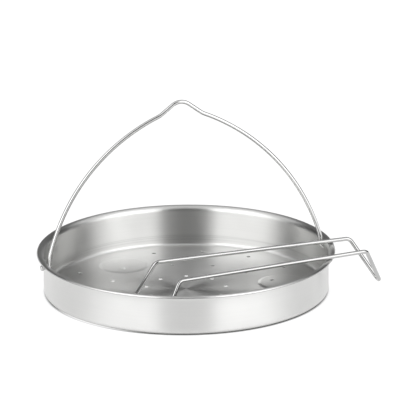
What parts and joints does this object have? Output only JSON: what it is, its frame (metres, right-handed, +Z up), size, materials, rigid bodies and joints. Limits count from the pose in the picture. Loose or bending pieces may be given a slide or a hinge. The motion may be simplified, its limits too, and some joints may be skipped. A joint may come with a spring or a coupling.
{
  "type": "pressure cooker insert",
  "caption": "Shallow round perforated steel insert with a flared lip, a pointed wire bail that folds on side pins, and a separate bent-wire stand leaning across its rim.",
  "frame": {"origin": "centre of the insert's flat underside", "axes": "+X along the bail's two pins, +Z up out of the insert, -Y towards the side that the stand lies on"},
  "size_m": [0.2468, 0.216, 0.1399],
  "materials": {
    "insert_steel": "stainless sheet, brushed round its axis",
    "bail_wire": "bright drawn stainless wire",
    "stand_wire": "bright drawn stainless wire"
  },
  "bodies": {
    "insert": {"perforated_insert": "insert_steel"},
    "bail": {"carrying_bail": "bail_wire"},
    "stand": {"wire_stand": "stand_wire"}
  },
  "joints": [
    {"name": "bail_fold", "type": "hinge", "parent": "insert", "child": "bail", "pos_m": [0, 0, 0.0252], "axis": [1, 0, 0], "range_deg": [-79.8, 52]},
    {"name": "stand_lift", "type": "slide", "parent": "insert", "child": "stand", "axis": [0, 0, 1], "range_m": [0, 0.15]}
  ]
}
